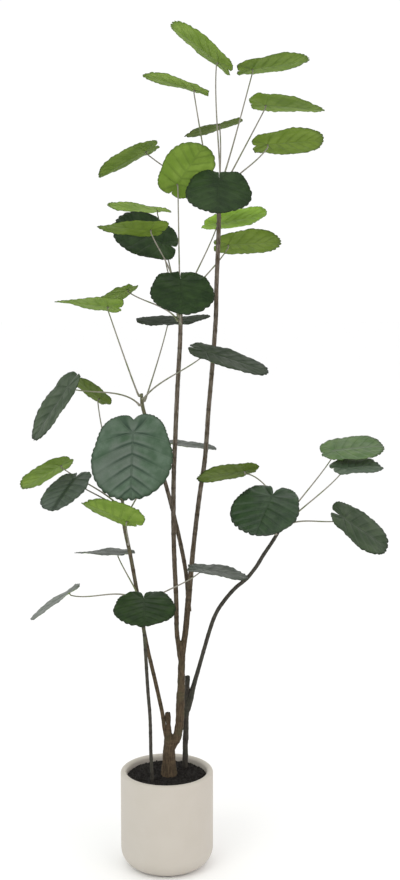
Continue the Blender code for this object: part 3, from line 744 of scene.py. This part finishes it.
def make_pot():
    """Turned pot with a full round rim, finer than its CAD solid."""
    rim = WALL / 2
    inner = POT_RADIUS - WALL
    inner_heel = HEEL_RADIUS - WALL
    profile = [(0, POT_FLOOR)]
    profile += arc((inner - inner_heel, POT_FLOOR + inner_heel), inner_heel, -90, 0, POT_INSIDE_STEPS)
    profile += arc((POT_RADIUS - rim, POT_HEIGHT - rim), rim, 180, 0, POT_CURVE_STEPS)
    for i in range(1, POT_SIDE_STEPS):
        share = i / POT_SIDE_STEPS
        profile.append((POT_RADIUS, (POT_HEIGHT - rim) * (1 - share) + HEEL_RADIUS * share))
    profile += arc((POT_RADIUS - HEEL_RADIUS, HEEL_RADIUS), HEEL_RADIUS, 0, -90, POT_CURVE_STEPS)
    profile += [(0, 0)]
    mesh = bpy.data.meshes.new("pot_turned")
    mesh.from_pydata([(r, 0, z) for r, z in profile], [(i, i + 1) for i in range(len(profile) - 1)], [])
    obj = new_object("pot_turned", mesh, [ceramic_skin()], "pot")
    turn = obj.modifiers.new("turn", "SCREW")
    turn.axis = "Z"
    turn.steps = POT_STEPS
    turn.render_steps = POT_STEPS
    turn.use_merge_vertices = True
    turn.merge_threshold = POT_MERGE
    turn.use_smooth_shade = True


def soil_lumps(x, y, kinds):
    """Height of the given kinds of lumps above the level soil."""
    return sum(height * noise.noise(Vector((x * fine, y * fine, seed))) for fine, seed, height in kinds)


def soil_bed(radius):
    """Vertices and faces of the soil: a lumpy top that sinks at the wall, over a smooth closed bed."""
    heel = HEEL_RADIUS - WALL
    turns = [2 * math.pi * k / SOIL_COLUMNS for k in range(SOIL_COLUMNS)]
    verts = [Vector((0, 0, SOIL_TOP))]
    for i in range(1, SOIL_RINGS + 1):
        share = i / SOIL_RINGS
        sink = SOIL_SINK * max(0, (share - SOIL_EDGE) / (1 - SOIL_EDGE)) ** 2
        for angle in turns:
            x, y = radius * share * math.cos(angle), radius * share * math.sin(angle)
            verts.append(Vector((x, y, SOIL_TOP + soil_lumps(x, y, SOIL_LUMPS) - sink)))
    lower = [(radius, z) for z in (SOIL_TOP - SOIL_SHOULDER, POT_FLOOR + heel)]
    lower += arc((radius - heel, POT_FLOOR + SOIL_GAP + heel), heel, -15, -90, SOIL_HEEL_STEPS)
    for r, z in lower:
        verts += [Vector((r * math.cos(angle), r * math.sin(angle), z)) for angle in turns]
    faces = [(0, 1 + k, 1 + (k + 1) % SOIL_COLUMNS) for k in range(SOIL_COLUMNS)]
    rows = SOIL_RINGS + len(lower)
    for i in range(rows - 1):
        for k in range(SOIL_COLUMNS):
            a, b = 1 + i * SOIL_COLUMNS + k, 1 + i * SOIL_COLUMNS + (k + 1) % SOIL_COLUMNS
            faces.append((a, a + SOIL_COLUMNS, b + SOIL_COLUMNS, b))
    faces.append(tuple(1 + (rows - 1) * SOIL_COLUMNS + k for k in reversed(range(SOIL_COLUMNS))))
    return verts, faces


def make_soil():
    """Loose soil: its bed with crumbs strewn on it."""
    radius = POT_RADIUS - WALL - SOIL_GAP
    dice = np.random.default_rng(5)
    shape = Shape()
    shape.add(*soil_bed(radius))
    ball = bmesh.new()
    bmesh.ops.create_icosphere(ball, subdivisions=1, radius=1)
    round_verts = [v.co.copy() for v in ball.verts]
    round_faces = [tuple(v.index for v in face.verts) for face in ball.faces]
    ball.free()
    for n in range(CRUMBS):
        away = (radius - CRUMB_MARGIN) * math.sqrt(dice.random())
        angle = dice.uniform(0, 2 * math.pi)
        size = dice.uniform(*CRUMB_SIZES)
        x, y = away * math.cos(angle), away * math.sin(angle)
        centre = Vector((x, y, SOIL_TOP + soil_lumps(x, y, SOIL_LUMPS[:-1]) + size * CRUMB_RISE))
        stretch = Vector(dice.uniform(*CRUMB_STRETCH, 3))
        crumb = []
        for v in round_verts:
            dents = CRUMB_ROUGHNESS * noise.noise(v * 2 + Vector((n, 0, 0)))
            crumb.append(centre + v * stretch * size * (1 + dents))
        shape.add(crumb, round_faces)
    new_object("soil_loose", shape.mesh("soil_loose"), [soil_skin()], "soil")


def stem_point(rows, drop):
    """Point, direction and radius of a stem at a distance below its tip."""
    path = smooth_path(rows, WOOD_STEP)
    left = drop
    for i in range(len(path) - 1, 0, -1):
        upper, lower = path[i], path[i - 1]
        span = (upper[0] - lower[0]).length
        if left <= span:
            share = left / span
            along = (upper[0] - lower[0]).normalized()
            return upper[0].lerp(lower[0], share), along, upper[1] + (lower[1] - upper[1]) * share
        left -= span
    return path[0][0], UP.copy(), path[0][1]


def leaf_axes(heading, rise, roll):
    """Midrib, left side and upper normal of a blade."""
    h, p, r = (math.radians(a) for a in (heading, rise, roll))
    midrib = Vector((math.cos(h) * math.cos(p), math.sin(h) * math.cos(p), math.sin(p)))
    level = Vector((-math.sin(h), math.cos(h), 0))
    side = level * math.cos(r) + midrib.cross(level) * math.sin(r)
    return midrib, side, midrib.cross(side)


def blade_radius(angle, length, width):
    """Distance from the stalk to the edge of an oval blade, fuller at the lobes and beside the tip."""
    centre = (REACH - 0.5) * length
    a, b = length / 2, width / 2
    c, s = np.cos(angle), np.sin(angle)
    qa = (c / a) ** 2 + (s / b) ** 2
    qb = -2 * c * centre / a ** 2
    qc = (centre / a) ** 2 - 1
    radius = (-qb + np.sqrt(qb * qb - 4 * qa * qc)) / (2 * qa)
    back = np.maximum(0, np.arccos(np.clip(c, -1, 1)) - LOBE_START) / (math.pi - LOBE_START)
    lobes = LOBE_FULLNESS * np.maximum(0, np.sin(math.pi * back)) ** 1.5
    return radius * (1 + lobes + TIP_FULLNESS * np.sin(2 * angle) ** 2 * (c > 0))


def scallops(angle, number, teeth):
    """Rounded teeth of uneven width and depth around the edge, from 0 between teeth to 1."""
    drifts = [share * np.sin(waves * angle + turn * number) for share, waves, turn in TOOTH_DRIFTS]
    phase = sum(drifts, teeth * (angle / (2 * math.pi)))
    across = 2 * (phase - np.floor(phase)) - 1
    mean, swing, waves, turn = TOOTH_DEPTH
    depth = mean + swing * np.sin(waves * angle + turn * number)
    return depth * (1 - across ** 2) ** TOOTH_ROUNDNESS


def vein_coordinates(x, y, length):
    """Count of side veins passed, metres from one to the next, and distance from the midrib."""
    q = np.abs(y)
    r = np.hypot(x, y)
    start = (x - VEIN_SPREAD * q - VEIN_CURVE * q * q) / (1 + VEIN_CLOSING * q / length)
    ahead = start >= 0
    behind = start / (VEIN_BACK * np.maximum(r, VEIN_NEAREST))
    phase = np.where(ahead, start / (VEIN_SPACING * length), behind)
    spacing = np.where(ahead, VEIN_SLANT * VEIN_SPACING * length, r)
    return phase, spacing, np.where(x > 0, q, r)


def noise_grid(x, y, fineness, seed):
    """Smooth noise at each point of a grid of a blade."""
    grid = np.empty_like(x)
    for spot in np.ndindex(grid.shape):
        grid[spot] = noise.noise(Vector((x[spot] * fineness, y[spot] * fineness, seed)))
    return grid


def blade_grid(number, length, width, fold, droop, twist, notch, quilt):
    """Blade surface in its own axes: rings of columns, with share of reach and vein coordinates."""
    angle = math.pi + 2 * math.pi * np.arange(COLUMNS) / COLUMNS
    share = ((np.arange(RINGS) + 1) / RINGS)[:, None]
    notch_angle, notch_floor, slit = notch
    off = np.abs(angle % (2 * math.pi) - math.pi) / math.radians(notch_angle)
    dip = np.clip(1 - off, 0, 1) ** NOTCH_POWER
    reach = share * (1 - (1 - notch_floor) * dip)
    reach[:, 0] *= slit
    count = round(math.pi * (length + width) / 2 / TOOTH_SPACING)
    teeth = TOOTH * (scallops(angle, number, count) - TOOTH_LEVEL) * np.clip(off - TOOTH_START, 0, 1)
    radius = blade_radius(angle, length, width) * reach * (1 + teeth * share ** TOOTH_POWER)
    x, y = radius * np.cos(angle), radius * np.sin(angle)

    lift = fold * (np.hypot(y, FOLD_BEND) - FOLD_BEND) + twist * x * y / length
    fall = droop * length * (x / length) ** 2
    wave = WAVE * reach ** 2 * np.sin(WAVES * (angle + number))
    flutter = FLUTTER * reach ** 3 * np.sin(FLUTTERS * (angle + number))
    phase, spacing, off_rib = vein_coordinates(x, y, length)
    across = phase - np.floor(phase)
    steep = np.sin(0.5 * math.pi * (1 - across) / (1 - PLEAT))
    pillow = np.where(across < PLEAT, (across / PLEAT) ** 1.5, steep)
    pillow *= np.clip(off_rib / QUILT_MIDRIB, 0, 1) * np.clip(radius / QUILT_HUB, 0, 1)
    pillow *= 1 - QUILT_EDGE * share ** 2
    crumple = CRUMPLE * noise_grid(x, y, CRUMPLE_FINENESS, 3.7 * number) * share
    crinkle = CRINKLE * noise_grid(x, y, CRINKLE_FINENESS, 5.3 * number) * share ** 4
    z = lift - fall + wave + flutter + quilt * pillow + crumple + crinkle
    return np.stack([x, y, z], -1), share, np.stack([phase, spacing, off_rib], -1)


def stalk_path(root, out, base, midrib, normal, bends):
    """Smooth stalk that leaves the stem squarely and meets the underside of the blade squarely."""
    span = (base - root).length
    straight = (base - root).normalized()
    neck = base - normal * NECK
    on, up, along = STALK_ARRIVAL
    arrive = (straight * on + normal * up + midrib * along).normalized()
    elbow = root + out * ELBOW[0] + UP * ELBOW[1]
    away, on, up = STALK_START
    p1 = root + (out * away + straight * on + UP * up * (1 - straight.z)) * span
    p2 = neck - arrive * span * STALK_PULL
    if bends:
        p1, p2 = (Vector(bend) / 1000 for bend in bends)
    points = [root + out * step for step in ROOT_STEPS]
    for i in range(STALK_POINTS + 1):
        t = i / STALK_POINTS
        points.append(elbow * (1 - t) ** 3 + p1 * 3 * t * (1 - t) ** 2 + p2 * 3 * t * t * (1 - t)
                      + neck * t ** 3)
    points += [base - normal * step for step in BLADE_STEPS]
    path = []
    for i, point in enumerate(points):
        t = i / (len(points) - 1)
        radius = STALK_TOP + (STALK_FOOT - STALK_TOP) * (1 - t) ** STALK_TAPER
        sheath = SHEATH[0] * math.exp(-((point - root).length / SHEATH[1]) ** 2)
        flare = FLARE[0] * math.exp(-((point - base).length / FLARE[1]) ** 2)
        path.append((point, radius + sheath + flare))
    return path


def blade_faces():
    """Faces of a blade's upper and lower skins, which share the vertices of its edge."""
    low_hub = 1 + RINGS * COLUMNS

    def top(ring, k):
        return 1 + ring * COLUMNS + k % COLUMNS

    def bottom(ring, k):
        return top(ring, k) if ring == RINGS - 1 else low_hub + top(ring, k)

    upper, lower = [], []
    for k in range(COLUMNS):
        upper.append((0, top(0, k), top(0, k + 1)))
        lower.append((low_hub, bottom(0, k + 1), bottom(0, k)))
        for i in range(RINGS - 1):
            upper.append((top(i, k), top(i + 1, k), top(i + 1, k + 1), top(i, k + 1)))
            lower.append((bottom(i, k), bottom(i, k + 1), bottom(i + 1, k + 1), bottom(i + 1, k)))
    return upper, lower


def blade_verts(grid, share, base, axes):
    """Vertices of a blade: hub and rings of the upper skin, then of the lower skin without its edge."""
    half = BLADE / 2 * np.sqrt(np.maximum(0, 1 - share ** 4)) * np.ones(COLUMNS)
    offset = half[:, :, None] * np.array((0, 0, 1))
    hub_lift = grid[0, :, 2].mean()
    parts = []
    for layer, step in ((grid + offset, BLADE / 2), ((grid - offset)[:-1], -BLADE / 2)):
        parts += [[base + axes[2] * (hub_lift + step)], base + layer.reshape(-1, 3) @ axes]
    return np.concatenate(parts)


def make_leaf(number, row, faces, skins):
    """Closed blade with separate upper and lower skins, and the stalk that carries it."""
    name, stem, drop, base, turn, length, width, *form = row
    base = Vector(base) / 1000
    midrib, side, normal = leaf_axes(*turn)
    grid, share, veins = blade_grid(number, length / 1000, width / 1000, *form,
                                    NOTCHES.get(name, USUAL_NOTCH), QUILT * QUILTING.get(name, 1))
    verts = blade_verts(grid, share, np.array(base), np.array([midrib, side, normal]))
    edge = np.broadcast_to(share, (RINGS, COLUMNS))
    shape = Shape()
    shape.add(verts, faces[0], 0, [0.0, *edge.ravel().tolist(), 0.0, *edge[:-1].ravel().tolist()])
    shape.faces += faces[1]
    shape.skins += [1] * len(faces[1])

    hub, along, radius = stem_point(STEMS[stem], drop / 1000)
    out = base - hub
    out = (out - along * out.dot(along)).normalized()
    root = hub + out * radius
    path = stalk_path(root, out, base, midrib, normal, STALK_BENDS.get(name))
    shape.add(*tube(path, STALK_SIDES), 2)

    mesh = shape.mesh(name + "_fine", "edge")
    flat = veins.reshape(-1, 3)
    hub_value = [[0.0, 0.01, 0.0]]
    stalk_values = np.zeros((len(shape.verts) - len(verts), 3))
    values = np.concatenate([hub_value, flat, hub_value, flat[:-COLUMNS], stalk_values])
    mesh.attributes.new("veins", "FLOAT_VECTOR", "POINT").data.foreach_set("vector", values.ravel())
    tones = (UPPER_TONE.get(name, "deep"), LOWER_TONE.get(name, "under"), "stalk")
    new_object(name + "_fine", mesh, [skins[tone] for tone in tones], name)


def make_leaves():
    """All leaves, with one skin for each tone."""
    skins = {tone: leaf_face(tone, *looks) for tone, looks in LEAF_SKINS.items()}
    skins["stalk"] = stalk_skin()
    faces = blade_faces()
    for number, row in enumerate(LEAVES):
        make_leaf(number, row, faces, skins)


def make_camera():
    """Upright lens that looks down a little, as in the photograph."""
    lens = bpy.data.cameras.new("photo_camera")
    lens.sensor_fit = "VERTICAL"
    lens.sensor_height = SENSOR
    lens.lens = FOCAL_PIXELS / PICTURE_HEIGHT * SENSOR
    camera = put_in_scene("photo_camera", lens)
    camera.location = CAMERA_PLACE
    camera.rotation_euler = (math.radians(90 - CAMERA_TILT), 0, 0)
    bpy.context.scene.camera = camera


def make_light():
    """Soft white room light with two broad lamps in front."""
    world = bpy.data.worlds.new("studio")
    world.use_nodes = True
    room = world.node_tree.nodes["Background"].inputs
    room["Color"].default_value = (1, 1, 1, 1)
    room["Strength"].default_value = ROOM_LIGHT
    bpy.context.scene.world = world
    for name, place, size, watts, tint in LAMPS:
        lamp = bpy.data.lights.new(name, "AREA")
        lamp.size = size
        lamp.energy = watts
        lamp.color = tint
        holder = put_in_scene(name, lamp)
        holder.location = place
        aim = Vector(LAMP_AIM) - Vector(place)
        holder.rotation_euler = aim.to_track_quat("-Z", "Y").to_euler()


def make_floor():
    """Plain pale floor, large enough to reach the horizon."""
    floor = bmesh.new()
    bmesh.ops.create_grid(floor, x_segments=1, y_segments=1, size=FLOOR_REACH)
    mesh = bpy.data.meshes.new("floor")
    floor.to_mesh(mesh)
    floor.free()
    obj = put_in_scene("floor", mesh)
    pale = Surface("floor_pale", 0.9, 0.1)
    colour = pale.mix(pale.clouds(pale.place(), scale=2, detail=2), *FLOOR_COLOURS)
    mesh.materials.append(pale.finish(colour))


make_camera()
make_light()
make_floor()
make_pot()
make_soil()
make_wood()
make_leaves()
bpy.context.scene.view_settings.view_transform = "Standard"
